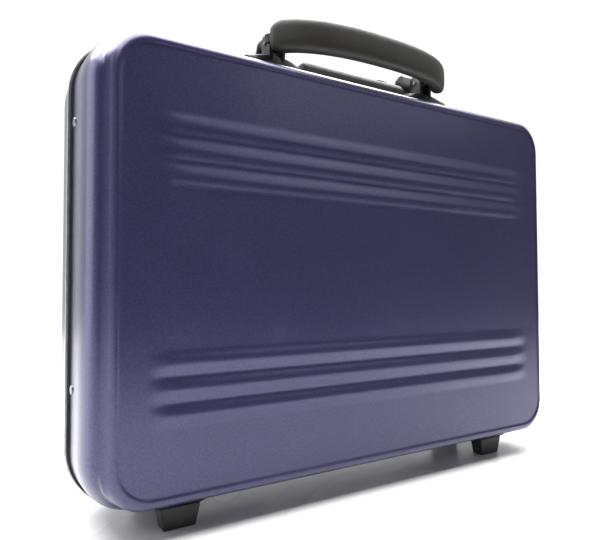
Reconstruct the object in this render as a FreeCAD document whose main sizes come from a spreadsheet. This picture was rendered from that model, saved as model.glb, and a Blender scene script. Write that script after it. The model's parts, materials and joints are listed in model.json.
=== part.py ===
import FreeCAD, Part
import Sketcher
import os

# Slim aluminium attache case, standing upright on its four feet.
# X runs along the case, -Y is the front (base) half, +Y the rear half (the lid),
# Z is up. The origin is on the floor, under the middle of the case.

doc = FreeCAD.newDocument("attache_case")

# ----------------------------------------------------------------- sizes (mm)
SIZES = {
    "parting": 5.9,              # Y of the parting plane: the folded handle sets the middle
    "mid_height": 160.0,         # floor to the middle of the case
    "half_len": 205.0,           # pressed shells: rim half length
    "half_high": 147.5,          # rim half height
    "half_depth": 49.7,          # parting plane to the big flat face
    "rim_edge": 2.0,             # parting plane to the edge of the sheet
    "rim_depth": 30.0,           # how deep the outer step goes
    "rim_round": 18.0,           # rounding of the outer step
    "rim_corner": 38.0,          # corner radius of the rim
    "lobe_half_len": 196.5,      # inner step: half length
    "lobe_half_high": 140.0,     # inner step: half height
    "lobe_corner": 22.0,         # corner radius of the inner step
    "lobe_round": 7.0,           # rounding up to the ridge round the panel
    "sheet": 1.5,                # aluminium sheet
    "recess": 0.7,               # panel lies this far below the ridge
    "ridge": 1.0,                # width of the ridge round the panel
    "rib_radius": 9.2,           # pressed ribs: radius of their section
    "rib_rise": 2.2,             # height of a rib over the panel
    "rib_half": 172.0,           # half length of a rib
    "rib_fade": 14.0,            # length of each fading end
    "rib_first": 55.5,           # first rib to the middle of the case
    "rib_pitch": 15.4,           # rib to rib
    "frame_out": 203.5,          # edge frames: half length on the outside
    "frame_thick": 5.0,
    "frame_corner": 36.5,        # corner radius of the frames' outside
    "frame_depth": 9.8,
    "tongue": 1.5,               # tongue thickness of the front frame
    "tongue_reach": 5.0,         # how far the tongue enters the rear frame
    "gasket_out": 3.0,           # gasket stands out past the frames
    "gasket_wide": 4.0,
    "lip_out": 4.0,              # bare lip of the rear frame past the frames
    "lip_wide": 7.0,
    "lip_near": 0.3,
    "lip_far": 2.0,
    "foot_at": 145.0,            # feet: middle to middle is twice this
    "foot_back": 24.4,           # parting plane to the middle of a foot
    "foot_high": 14.0,
    "foot_len": 26.2,
    "foot_wide": 13.0,
    "foot_taper": 0.8,           # size of the sole against the top of a foot
    "boss_len": 50.0,            # seat pressed out of the shell over a foot: length at its top
    "boss_wide": 20.0,
    "boss_up": 6.0,              # how far it reaches up into the shell
    "foot_sink": 3.6,            # radius of the sunk hole for a screw head
    "foot_web": 7.5,             # floor to the seat of the screw head
    "screw_head": 3.2,
    "screw_shank": 1.7,
    "screw_slot": 0.8,
    "rivet_radius": 3.0,
    "rivet_proud": 0.9,
    "lining_gap": 0.4,           # lining to the sheet
    "lining_thick": 1.4,
    "hinge_at": 100.0,           # hinges: middle of each from the middle
    "hinge_len": 56.0,
    "hinge_axis": 8.7,           # height of the hinge pin over the floor
    "knuckle": 2.2,
    "hinge_pin": 1.1,
    "leaf": 1.3,
    "leaf_wide": 12.0,           # parting plane to the edge of a hinge plate
    "web": 2.0,                  # web between a plate and its knuckles
    "pivot_back": 20.0,          # parting plane to the handle pivot
    "pivot_high": 323.5,
    "grip_half": 88.0,           # outer half length of the grip
    "grip_reach": 41.5,          # pivot to the outside of the grip
    "grip_thick": 12.0,
    "grip_wide": 21.0,
    "grip_start": 12.5,          # pivot to the cut ends of the grip
    "grip_round": 4.0,
    "core_inset": 3.5,           # steel core below the surface of the grip
    "core_high": 6.0,
    "eye_radius": 5.0,           # eyes of the core on the pins
    "eye_half": 3.2,
    "neck": 9.5,                 # pivot to the end of an eye's neck
    "shoulder_near": 6.8,        # bar from each eye out to the arch
    "shoulder_far": 11.0,
    "shoulder_len": 8.0,
    "handle_pin": 1.5,
    "handle_pin_half": 7.5,
    "lug_at": 73.0,              # middle of each handle bracket's fork
    "ear_radius": 6.5,
    "ear_aft": 5.5,              # pivot to the rear of a bracket
    "ear_apart": 5.0,            # middle of the fork to the middle of an ear
    "ear_thick": 3.0,
    "bracket_in": 18.0,          # middle of the fork to the inner end of the bracket
    "bracket_out": 23.0,         # and to its outer end
    "bracket_plate": 1.6,        # top of the bracket's plate over the deck
    "seat_depth": 2.0,           # top hardware reaches this far down the shell
    "housing_half": 48.0,        # combination lock housing
    "housing_high": 4.3,         # height over the deck
    "housing_wide": 13.0,
    "housing_round": 1.5,
    "slot_deep": 4.0,            # dial slots below the deck
    "slot_top": 8.0,             # and to above the housing
    "axle": 1.0,
    "axle_half": 11.0,
    "button_from": 22.4,         # slide button at rest
    "button_len": 10.0,
    "button_wide": 5.6,
    "button_low": 1.45,          # underside and top over the deck
    "button_high": 5.2,
    "button_track": 38.0,        # far end of its track
    "button_spring": 0.9,
    "spring_line": 2.6,          # spring over the deck
    "dial_radius": 4.2,
    "dial_axis": 1.4,            # dial axle over the deck
    "dial_wide": 4.4,
    "dial_pitch": 6.0,
    "latch_at": 67.5,
    "latch_len": 25.0,
    "lever_front": 9.0,          # parting plane to the front of a lever
    "lever_thick": 4.0,          # of its thumb tab
    "lever_low": 3.6,            # underside and top of its arm over the deck
    "lever_high": 7.5,
    "lever_tail": 2.5,           # arm past the pivot
    "lever_corner": 9.0,
    "latch_base_near": 3.0,      # base: parting plane to its edges
    "latch_base_far": 17.0,
    "latch_plate": 1.8,          # top of the base's plate over the deck
    "latch_ear": 3.0,            # radius of its ears
    "latch_ear_thick": 2.0,
    "latch_pin": 1.0,
    "latch_spring": 2.0,
    "latch_spring_bore": 1.2,
    "latch_spring_half": 4.0,
    "keeper_in": 7.0,            # middle of the latch to the middle of the keeper
    "keeper_half": 3.5,
    "keeper_near": 3.6,          # parting plane to its faces
    "keeper_far": 7.5,
    "keeper_high": 3.3,          # top over the deck
    "latch_top": 335.0,
    "latch_pivot_y": 12.5,
    "latch_pivot_z": 318.5,
    "rivet_up": 89.5,            # side rivets above the middle
    "rivet_low": 72.0,           # and below it
    "rivet_back": 8.5,
    "deck": 313.0,               # floor to the plates of the top hardware
    "housing_back": 19.5,        # parting plane to the middle of the lock housing
    "gap": 0.3,                  # gap between parts that move past each other
    "bore_play": 0.05,           # bores are this much wider than their pins
    "cloth_gap": 2.6,            # sheet to the soft pieces inside
    "organiser_half": 150.0,
    "organiser_low": 95.0,       # below and above the middle of the case
    "organiser_high": 105.0,
    "organiser_thick": 5.0,
    "pen_from": -120.0,          # pen loops: first one's X, spacing and size
    "pen_pitch": 18.0,
    "pen_radius": 7.0,
    "pen_hole": 6.0,
    "pen_set": 15.2,             # sheet to the middle of the loops
    "pen_low": 60.0,
    "pen_high": 85.0,
    "strap_half": 12.5,
    "strap_thick": 1.5,
    "strap_reach": 120.0,
    "buckle_half": 17.0,
    "buckle_high": 12.0,
    "buckle_near": 4.3,          # sheet to its two faces
    "buckle_far": 6.7,
    "buckle_hole_half": 12.8,
    "buckle_hole_high": 8.0,
}

sheet = doc.addObject("Spreadsheet::Sheet", "sizes")
for row, (alias, value) in enumerate(SIZES.items(), start=1):
    sheet.set("A%d" % row, alias)
    sheet.set("B%d" % row, str(value))
    sheet.setAlias("B%d" % row, alias)
doc.recompute()

FRONT, REAR = -1, 1
nodes = []


def cell(expression):
    """Write an expression with every alias pointing at the sheet."""
    out = ""
    word = ""
    for letter in expression + " ":
        if letter.isalnum() or letter == "_":
            word += letter
        else:
            out += "sizes." + word if word in SIZES else word
            out += letter
            word = ""
    return out.strip()


def bind(thing, **expressions):
    for name, expression in expressions.items():
        thing.setExpression(name.replace("__", "."), cell(str(expression)))


def place(thing, x="0", y="0", z="0"):
    """Put a thing at x, y, z, where y is measured from the parting plane."""
    y = "parting + (%s)" % y
    bind(thing, Placement__Base__x=x, Placement__Base__y=y, Placement__Base__z=z)


def box(name, x, y, z):
    """Box from three pairs of expressions (low, high)."""
    thing = doc.addObject("Part::Box", name)
    bind(thing, Length="(%s) - (%s)" % (x[1], x[0]), Width="(%s) - (%s)" % (y[1], y[0]),
         Height="(%s) - (%s)" % (z[1], z[0]))
    place(thing, x[0], y[0], z[0])
    return thing


def rod(name, radius, low, high, y, z):
    """Cylinder lying along X."""
    thing = doc.addObject("Part::Cylinder", name)
    thing.Placement = FreeCAD.Placement(FreeCAD.Vector(), FreeCAD.Rotation(FreeCAD.Vector(0, 1, 0), 90))
    bind(thing, Radius=radius, Height="(%s) - (%s)" % (high, low))
    place(thing, low, y, z)
    return thing


def post(name, radius, x, y, low, high):
    """Cylinder standing along Z."""
    thing = doc.addObject("Part::Cylinder", name)
    bind(thing, Radius=radius, Height="(%s) - (%s)" % (high, low))
    place(thing, x, y, low)
    return thing


def tapered(name, middle, low, high, low_size, high_size):
    """Block that widens upwards; middle is (x, y), each size is (along X, along Y)."""
    thing = doc.addObject("Part::Wedge", name)
    thing.Placement = FreeCAD.Placement(FreeCAD.Vector(), FreeCAD.Rotation(FreeCAD.Vector(1, 0, 0), 90))
    bind(thing, Ymin="0", Ymax="(%s) - (%s)" % (high, low),
         Xmin="-(%s) / 2" % low_size[0], Xmax="(%s) / 2" % low_size[0],
         Zmin="-(%s) / 2" % low_size[1], Zmax="(%s) / 2" % low_size[1],
         X2min="-(%s) / 2" % high_size[0], X2max="(%s) / 2" % high_size[0],
         Z2min="-(%s) / 2" % high_size[1], Z2max="(%s) / 2" % high_size[1])
    place(thing, middle[0], middle[1], low)
    return thing


def fuse(name, things):
    thing = doc.addObject("Part::MultiFuse", name)
    thing.Shapes = things
    return thing


def group(name, things):
    """Separate solids kept in one node."""
    thing = doc.addObject("Part::Compound", name)
    thing.Links = things
    return thing


def cut(name, base, tools):
    for number, tool in enumerate(tools):
        last = number == len(tools) - 1
        step = doc.addObject("Part::Cut", name if last else "%s_step%d" % (name, number))
        step.Base = base
        step.Tool = tool
        base = step
    return base


def common(name, base, tool):
    thing = doc.addObject("Part::Common", name)
    thing.Base = base
    thing.Tool = tool
    return thing


def rounded(name, base, radius, keep):
    """Fillet the edges of base that keep(edge) picks."""
    doc.recompute()
    thing = doc.addObject("Part::Fillet", name)
    thing.Base = base
    picked = [n for n, edge in enumerate(base.Shape.Edges, start=1) if keep(edge)]
    thing.Edges = [(n, radius, radius) for n in picked]
    return thing


def mirrored(name, source):
    """Copy of a front-half thing on the rear side of the parting plane."""
    thing = doc.addObject("Part::Mirroring", name)
    thing.Source = source
    thing.Normal = FreeCAD.Vector(0, 1, 0)
    bind(thing, Base__y="parting")
    return thing


def node(name, thing):
    """Give a finished sub-part its own name."""
    thing.Label = name
    nodes.append(thing)
    return thing


def along_x(edge):
    span = edge.BoundBox
    return span.XLength > 1e-3 and span.YLength < 1e-3 and span.ZLength < 1e-3


# ------------------------------------------------- rounded rectangles and pans
def origin_plane(body, role):
    return [f for f in body.Origin.OriginFeatures if f.Role == role][0]


def rectangle(body, name, half_x, half_z):
    """Centred rectangle on the body's XZ plane, bound to the sheet."""
    sketch = body.newObject("Sketcher::SketchObject", name)
    sketch.AttachmentSupport = [(origin_plane(body, "XZ_Plane"), "")]
    sketch.MapMode = "FlatFace"
    corners = [FreeCAD.Vector(x, z, 0) for x, z in ((-9, -9), (9, -9), (9, 9), (-9, 9))]
    for k in range(4):
        sketch.addGeometry(Part.LineSegment(corners[k], corners[(k + 1) % 4]), False)
    for k in range(4):
        sketch.addConstraint(Sketcher.Constraint("Coincident", k, 2, (k + 1) % 4, 1))
    for k, kind in enumerate(("Horizontal", "Vertical", "Horizontal", "Vertical")):
        sketch.addConstraint(Sketcher.Constraint(kind, k))
    sketch.addConstraint(Sketcher.Constraint("Symmetric", 0, 1, 2, 1, -1, 1))
    length = sketch.addConstraint(Sketcher.Constraint("DistanceX", 0, 1, 0, 2, 18.0))
    height = sketch.addConstraint(Sketcher.Constraint("DistanceY", 1, 1, 1, 2, 18.0))
    sketch.setExpression("Constraints[%d]" % length, cell("2 * (%s)" % half_x))
    sketch.setExpression("Constraints[%d]" % height, cell("2 * (%s)" % half_z))
    doc.recompute()
    return sketch


def dress(body, name, feature, radius, keep):
    """Fillet on the edges of a feature that keep(edge) picks."""
    doc.recompute()
    names = ["Edge%d" % n for n, e in enumerate(feature.Shape.Edges, start=1) if keep(e)]
    fillet = body.newObject("PartDesign::Fillet", name)
    fillet.Base = (feature, names)
    fillet.setExpression("Radius", cell(radius))
    doc.recompute()
    return fillet


def slab(name, half_x, half_z, corner, depth, front_round=None):
    """Rounded rectangle pad standing from Y = 0 towards the front."""
    body = doc.addObject("PartDesign::Body", name)
    pad = body.newObject("PartDesign::Pad", name + "_pad")
    pad.Profile = rectangle(body, name + "_outline", half_x, half_z)
    pad.setExpression("Length", cell(depth))
    doc.recompute()
    pad.Reversed = pad.Shape.BoundBox.YMin > -1e-6
    doc.recompute()
    last = dress(body, name + "_corners", pad, corner,
                 lambda e: e.BoundBox.YLength > 1 and e.BoundBox.XLength < 1e-3)
    if front_round:
        front = last.Shape.BoundBox.YMin
        last = dress(body, name + "_front", last, front_round,
                     lambda e: abs(e.BoundBox.YMax - front) < 1e-3)
    body.Tip = last
    place(body, z="mid_height")
    return body


def pan(name, inset, face):
    """The stepped solid that a pressed half fills; its face lies back by face."""
    outer = slab(name + "_rim", "half_len - %s" % inset, "half_high - %s" % inset,
                 "rim_corner - %s" % inset, "rim_depth - %s" % inset, "rim_round - %s" % inset)
    inner = slab(name + "_lobe", "lobe_half_len - %s" % inset, "lobe_half_high - %s" % inset,
                 "lobe_corner - %s" % inset, "half_depth - %s" % face, "lobe_round - %s" % inset)
    return outer, inner


def rib(name, height, inset):
    """Pressed rib: a sunk rod whose ends fade into the panel."""
    middle = "-(half_depth - recess) + (rib_radius - rib_rise)"
    small = "rib_radius - rib_rise - 0.6"
    body = rod(name + "_rod", "rib_radius - %s" % inset, "-(rib_half - rib_fade)",
               "rib_half - rib_fade", middle, height)
    ends = []
    for side, word in ((-1, "a"), (1, "b")):
        cone = doc.addObject("Part::Cone", "%s_end_%s" % (name, word))
        cone.Placement = FreeCAD.Placement(
            FreeCAD.Vector(), FreeCAD.Rotation(FreeCAD.Vector(0, 1, 0), 90 * side))
        bind(cone, Radius1="rib_radius - %s" % inset, Radius2="%s - %s" % (small, inset), Height="rib_fade")
        place(cone, "%d * (rib_half - rib_fade)" % side, middle, height)
        ends.append(cone)
    return [body] + ends


def ribs(name, inset):
    things = []
    for side, word in ((1, "up"), (-1, "low")):
        for k in range(3):
            height = "mid_height + %d * (rib_first + %d * rib_pitch)" % (side, k)
            things += rib("%s_%s%d" % (name, word, k), height, inset)
    return things


# -------------------------------------------------------------- pressed shells
whole_rim, whole_lobe = pan("outer", "0", "0")
hollow_rim, hollow_lobe = pan("hollow", "sheet", "(sheet + recess)")
panel = slab("panel", "lobe_half_len - lobe_round - ridge", "lobe_half_high - lobe_round - ridge",
             "lobe_corner - lobe_round", "recess * 2")
place(panel, y="-(half_depth - recess)", z="mid_height")

bosses = []
for side, word in ((-1, "left"), (1, "right")):
    block = tapered("boss_block_" + word, ("%d * foot_at" % side, "-foot_back"), "foot_high",
                    "mid_height - lobe_half_high + boss_up", ("foot_len + 3", "foot_wide + 2"),
                    ("boss_len", "boss_wide"))
    bosses.append(rounded("boss_" + word, block, 2.0, lambda e: e.BoundBox.ZLength > 5))

outside = fuse("outside", [whole_rim, whole_lobe] + bosses)
dished = cut("dished", outside, [panel])
ribbed = fuse("ribbed", [dished] + ribs("rib", "0"))
inside = fuse("inside", [hollow_rim, hollow_lobe] + ribs("rib_hollow", "sheet"))
rim_gap = box("rim_gap", ("-2 * half_len", "2 * half_len"), ("-rim_edge", "rim_edge"),
              ("-half_high", "3 * half_high"))
pressing = cut("pressing", ribbed, [inside, rim_gap])
rear_pressing = mirrored("rear_pressing", pressing)
rear_outside = mirrored("rear_outside", outside)

node("front_shell", pressing)
node("rear_shell", rear_pressing)


# ------------------------------------------------- edge frames, gasket and lip
def ring(name, out, wall, near, far):
    """Rectangular ring between two Y planes; out is measured from frame_out."""
    depth = "(%s) - (%s)" % (far, near)
    outer = slab(name + "_outer", "frame_out + %s" % out, "frame_out + %s + half_high - half_len" % out,
                 "frame_corner + %s" % out, depth)
    inner = slab(name + "_inner", "frame_out + %s - (%s)" % (out, wall),
                 "frame_out + %s - (%s) + half_high - half_len" % (out, wall),
                 "frame_corner + %s - (%s)" % (out, wall), depth)
    for thing in (outer, inner):
        place(thing, y=far, z="mid_height")
    return cut(name, outer, [inner])


def hinge_spans(name, y_low, y_high):
    """Boxes that leave room for the two hinges at the bottom edge."""
    spans = []
    for side, word in ((-1, "left"), (1, "right")):
        spans.append(box("%s_%s" % (name, word),
                         ("%d * hinge_at - hinge_len / 2 - gap" % side,
                          "%d * hinge_at + hinge_len / 2 + gap" % side),
                         (y_low, y_high), ("0", "mid_height - half_high")))
    return spans


front_channel = ring("front_channel", "0", "frame_thick", "-(rim_edge + frame_depth)", "-rim_edge")
tongue = ring("tongue_ring", "-(frame_thick - tongue)", "tongue", "-rim_edge", "tongue_reach")
tongue_floor = box("tongue_floor", ("-2 * half_len", "2 * half_len"), ("-half_depth", "half_depth"),
                   ("0", "70"))
node("front_frame", fuse("front_frame_all", [front_channel, cut("tongue_top", tongue, [tongue_floor])]))

gasket = ring("gasket_ring", "gasket_out", "gasket_wide", "-rim_edge", "0")
node("gasket", cut("gasket_cut", gasket, hinge_spans("gasket_room", "-half_depth", "half_depth")))

rear_channel = ring("rear_channel", "0", "frame_thick - tongue - gap", "lip_far", "rim_edge + frame_depth")
lip = ring("lip_ring", "lip_out", "lip_wide", "lip_near", "lip_far")
node("rear_frame", cut("rear_frame_cut", fuse("rear_frame_all", [
    rear_channel, lip]), hinge_spans("lip_room", "-half_depth", "half_depth")))


# ---------------------------------------------------------------- inner linings
def lining(name):
    """Tray of fabric-covered board that lies in a shell."""
    far, near = "(half_depth - sheet - recess - gap)", "(rim_edge + frame_depth + 1)"
    walls = []
    for word, inset in (("outer", "0"), ("inner", "lining_thick")):
        less = "sheet - lining_gap - %s" % inset
        walls.append(slab("%s_%s" % (name, word), "lobe_half_len - " + less, "lobe_half_high - " + less,
                          "lobe_corner - " + less, "%s - %s - %s" % (far, near, inset),
                          "lobe_round - sheet - %s" % inset))
        place(walls[-1], y="-" + near, z="mid_height")
    return cut(name, walls[0], [walls[1]])


front_tray = lining("front_tray")
node("front_lining", front_tray)
node("rear_lining", mirrored("rear_tray", front_tray))


# ------------------------------------------------------------ feet and screws
def foot(name, side, half):
    """Tapered rubber foot with a sunk hole for its screw."""
    middle_x = "%d * foot_at" % side
    middle_y = "%d * foot_back" % half
    block = tapered(name + "_block", (middle_x, middle_y), "0", "foot_high",
                    ("foot_len * foot_taper", "foot_wide * foot_taper"), ("foot_len", "foot_wide"))
    smooth = rounded(name + "_smooth", block, 1.2, lambda e: e.BoundBox.ZMin < 1e-3)
    sunk = post(name + "_sunk", "foot_sink", middle_x, middle_y, "-1", "foot_web")
    bore = post(name + "_bore", "screw_shank + gap", middle_x, middle_y, "foot_web - 1", "foot_high + 1")
    return cut(name + "_done", smooth, [sunk, bore, outside if half == FRONT else rear_outside])


def foot_screw(name, side, half):
    middle_x = "%d * foot_at" % side
    middle_y = "%d * foot_back" % half
    head = post(name + "_head", "screw_head", middle_x, middle_y, "foot_web - 2.8", "foot_web")
    shank = post(name + "_shank", "screw_shank", middle_x, middle_y, "foot_web - 1", "foot_high - 3")
    slot = box(name + "_slot", (middle_x + " - screw_head", middle_x + " + screw_head"),
               (middle_y + " - screw_slot / 2", middle_y + " + screw_slot / 2"),
               ("foot_web - 3", "foot_web - 2"))
    return cut(name, fuse(name + "_all", [head, shank]), [slot])


for half, where in ((FRONT, "front"), (REAR, "rear")):
    screws = []
    for side, word in ((-1, "left"), (1, "right")):
        node("%s_foot_%s" % (where, word), foot("%s_%s_foot" % (where, word), side, half))
        screws.append(foot_screw("%s_%s_screw" % (where, word), side, half))
    node("%s_foot_screws" % where, group("%s_screws" % where, screws))

# ------------------------------------------------------- rivets in the side walls
for half, where in ((FRONT, "front"), (REAR, "rear")):
    rivets = []
    for side in (-1, 1):
        for height in ("mid_height - rivet_low", "mid_height + rivet_up"):
            name = "%s_rivet_%d" % (where, len(rivets))
            depth = "%d * rivet_back" % half
            edge = ("half_len", "half_len + rivet_proud")
            if side < 0:
                edge = ("-half_len - rivet_proud", "-half_len")
            head = rod(name + "_head", "rivet_radius", edge[0], edge[1], depth, height)
            face = SIZES["half_len"] + SIZES["rivet_proud"]
            rivets.append(rounded(name, head, 0.7, lambda e: abs(abs(e.BoundBox.XMin) - face) < 1e-3
                                  and e.BoundBox.XLength < 1e-3))
    node("%s_side_rivets" % where, group("%s_rivets" % where, rivets))


# ---------------------------------------------------------------------- hinges
def hinge_leaf(name, side, half):
    """Plate under the shell with its share of the knuckles."""
    low = "%d * hinge_at - hinge_len / 2" % side
    step = "hinge_len / 5"
    edge = ("-leaf_wide", "-gap") if half == FRONT else ("gap", "leaf_wide")
    plate = box(name + "_plate", (low, low + " + hinge_len"), edge,
                ("mid_height - half_high - leaf", "mid_height - half_high"))
    things = [plate]
    mine = (0, 2, 4) if half == FRONT else (1, 3)
    for k in mine:
        start = "%s + %d * %s + gap / 2" % (low, k, step)
        stop = "%s + %d * %s - gap / 2" % (low, k + 1, step)
        web_y = ("-web", "0") if half == FRONT else ("0", "web")
        things.append(rod("%s_knuckle%d" % (name, k), "knuckle", start, stop, "0", "hinge_axis"))
        things.append(box("%s_web%d" % (name, k), (start, stop), web_y,
                          ("hinge_axis", "mid_height - half_high - 0.1")))
    bore = rod(name + "_bore", "hinge_pin + bore_play", low + " - 1", low + " + hinge_len + 1",
               "0", "hinge_axis")
    return cut(name + "_done", fuse(name + "_all", things), [bore])


for side, word in ((-1, "left"), (1, "right")):
    node("hinge_leaf_front_" + word, hinge_leaf("hinge_front_" + word, side, FRONT))
    node("hinge_leaf_rear_" + word, hinge_leaf("hinge_rear_" + word, side, REAR))
    low = "%d * hinge_at - hinge_len / 2" % side
    node("hinge_pin_" + word, rod("hinge_rod_" + word, "hinge_pin", low, low + " + hinge_len",
                                  "0", "hinge_axis"))

# ---------------------------------------------------- carrying handle, folded forward
for side, word in ((-1, "left"), (1, "right")):
    lug = "%d * lug_at" % side
    ends = ("lug_at - bracket_in", "lug_at + bracket_out")
    if side < 0:
        ends = ("-lug_at - bracket_out", "-lug_at + bracket_in")
    bracket_y = ("-(pivot_back + ear_radius)", "-(pivot_back - ear_aft)")
    fork = [box("bracket_foot_" + word, ends, bracket_y,
                ("mid_height + lobe_half_high - seat_depth", "deck + bracket_plate"))]
    for ear in (-1, 1):
        middle = "%s + %d * ear_apart" % (lug, ear)
        cheeks = (middle + " - ear_thick / 2", middle + " + ear_thick / 2")
        fork.append(rod("ear_%s_%d" % (word, ear + 1), "ear_radius", cheeks[0], cheeks[1],
                        "-pivot_back", "pivot_high"))
        fork.append(box("ear_stem_%s_%d" % (word, ear + 1), cheeks, bracket_y, ("deck", "pivot_high")))
    bore = rod("bracket_bore_" + word, "handle_pin", "%s - bracket_in / 2" % lug, "%s + bracket_in / 2" % lug,
               "-pivot_back", "pivot_high")
    node("handle_bracket_" + word, cut("bracket_" + word, fuse("bracket_all_" + word, fork),
                                       [outside, bore]))
    node("handle_pin_" + word, rod("handle_rod_" + word, "handle_pin", "%s - handle_pin_half" % lug,
                                   "%s + handle_pin_half" % lug, "-pivot_back", "pivot_high"))


def ellipse_slab(name, half_x, half_y, thick):
    """Flat elliptical slab about the handle pivot line."""
    outline = doc.addObject("Part::Ellipse", name + "_outline")
    bind(outline, MajorRadius=half_x, MinorRadius=half_y)
    place(outline, y="-pivot_back", z="pivot_high - (%s) / 2" % thick)
    solid = doc.addObject("Part::Extrusion", name)
    solid.Base = outline
    solid.DirMode = "Custom"
    solid.Dir = FreeCAD.Vector(0, 0, 1)
    solid.Solid = True
    bind(solid, LengthFwd=thick)
    return solid


front_zone = box("grip_zone", ("-2 * grip_half", "2 * grip_half"),
                 ("-(pivot_back + 2 * grip_reach)", "-(pivot_back + grip_start)"),
                 ("pivot_high - grip_wide", "pivot_high + grip_wide"))
grip_arch = cut("grip_arch", ellipse_slab("grip_outer", "grip_half", "grip_reach", "grip_wide"),
                [ellipse_slab("grip_inner", "grip_half - grip_thick", "grip_reach - grip_thick",
                              "grip_wide + 2")])
grip_solid = rounded("grip_solid", common("grip_cut", grip_arch, front_zone), SIZES["grip_round"],
                     lambda e: e.BoundBox.XLength > 60 and e.BoundBox.ZLength < 1e-3)
core_arch = cut("core_arch",
                ellipse_slab("core_outer", "grip_half - core_inset", "grip_reach - core_inset", "core_high"),
                [ellipse_slab("core_inner", "grip_half - grip_thick + core_inset",
                              "grip_reach - grip_thick + core_inset", "core_high + 2")])
core_zone = box("core_zone", ("-2 * grip_half", "2 * grip_half"),
                ("-(pivot_back + 2 * grip_reach)", "-(pivot_back + ear_radius)"),
                ("pivot_high - grip_wide", "pivot_high + grip_wide"))
core_pieces = [common("core_cut", core_arch, core_zone)]
core_bores = []
core_band = ("pivot_high - core_high / 2", "pivot_high + core_high / 2")
for side, word in ((-1, "left"), (1, "right")):
    low = "%d * lug_at - eye_half" % side
    high = "%d * lug_at + eye_half" % side
    core_pieces.append(rod("core_eye_" + word, "eye_radius", low, high, "-pivot_back", "pivot_high"))
    core_pieces.append(box("core_neck_" + word, (low, high), ("-(pivot_back + neck)", "-pivot_back"),
                           core_band))
    shoulder = ("lug_at - eye_half", "lug_at + shoulder_len")
    if side < 0:
        shoulder = ("-lug_at - shoulder_len", "-lug_at + eye_half")
    core_pieces.append(box("core_shoulder_" + word, shoulder,
                           ("-(pivot_back + shoulder_far)", "-(pivot_back + shoulder_near)"), core_band))
    core_bores.append(rod("core_bore_" + word, "handle_pin + bore_play", low + " - 1", high + " + 1",
                          "-pivot_back", "pivot_high"))
core = node("handle_core", cut("core", fuse("core_all", core_pieces), core_bores))
node("handle_grip", cut("grip", grip_solid, [core]))

# ------------------------------------------------------ combination lock on top
housing_block = box("housing_block", ("-housing_half", "housing_half"),
                    ("-(housing_back + housing_wide / 2)", "-(housing_back - housing_wide / 2)"),
                    ("mid_height + lobe_half_high - seat_depth", "deck + housing_high"))
housing_smooth = rounded("housing_smooth", housing_block, SIZES["housing_round"],
                         lambda e: along_x(e) and e.BoundBox.ZMin > SIZES["deck"])
dial_line = "-housing_back"
dial_height = "deck + dial_axis"
dial_slots = []
for k in range(3):
    middle = "%d * dial_pitch" % (k - 1)
    dial_slots.append(box("dial_slot_%d" % k,
                          (middle + " - dial_wide / 2 - gap", middle + " + dial_wide / 2 + gap"),
                          ("-(housing_back + dial_radius + gap)", "-(housing_back - dial_radius - gap)"),
                          ("deck - slot_deep", "deck + slot_top")))
axle_bore = rod("axle_bore", "axle", "-axle_half", "axle_half", dial_line, dial_height)
button_room = box("button_room", ("button_from - gap", "button_track"),
                  ("-(housing_back + button_wide / 2 + gap)", "-(housing_back - button_wide / 2 - gap)"),
                  ("deck + button_low - bore_play", "deck + slot_top"))
node("lock_housing", cut("housing", housing_smooth, [outside, button_room, axle_bore] + dial_slots))
node("dial_axle", rod("axle_rod", "axle", "-axle_half", "axle_half", dial_line, dial_height))
for k in range(3):
    middle = "%d * dial_pitch" % (k - 1)
    wheel = rod("wheel_%d" % k, "dial_radius", middle + " - dial_wide / 2", middle + " + dial_wide / 2",
                dial_line, dial_height)
    wheel_bore = rod("wheel_bore_%d" % k, "axle + bore_play", middle + " - dial_wide",
                     middle + " + dial_wide", dial_line, dial_height)
    node("number_dial_%d" % (k + 1), cut("dial_%d" % k, wheel, [wheel_bore]))
button_base = box("button_base", ("button_from", "button_from + button_len"),
                  ("-(housing_back + button_wide / 2)", "-(housing_back - button_wide / 2)"),
                  ("deck + button_low", "deck + button_high"))
button_smooth = rounded("button_smooth", button_base, 0.8, lambda e: e.BoundBox.ZMin > SIZES["deck"] + 5)
spring_height = "deck + spring_line"
button_groove = rod("button_groove", "button_spring + gap", "button_from - 2", "button_track + 2",
                    dial_line, spring_height)
node("lock_button", cut("button", button_smooth, [button_groove]))
node("button_spring", rod("spring_rod", "button_spring", "button_from + 0.6", "button_track - 0.1",
                          dial_line, spring_height))

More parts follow.
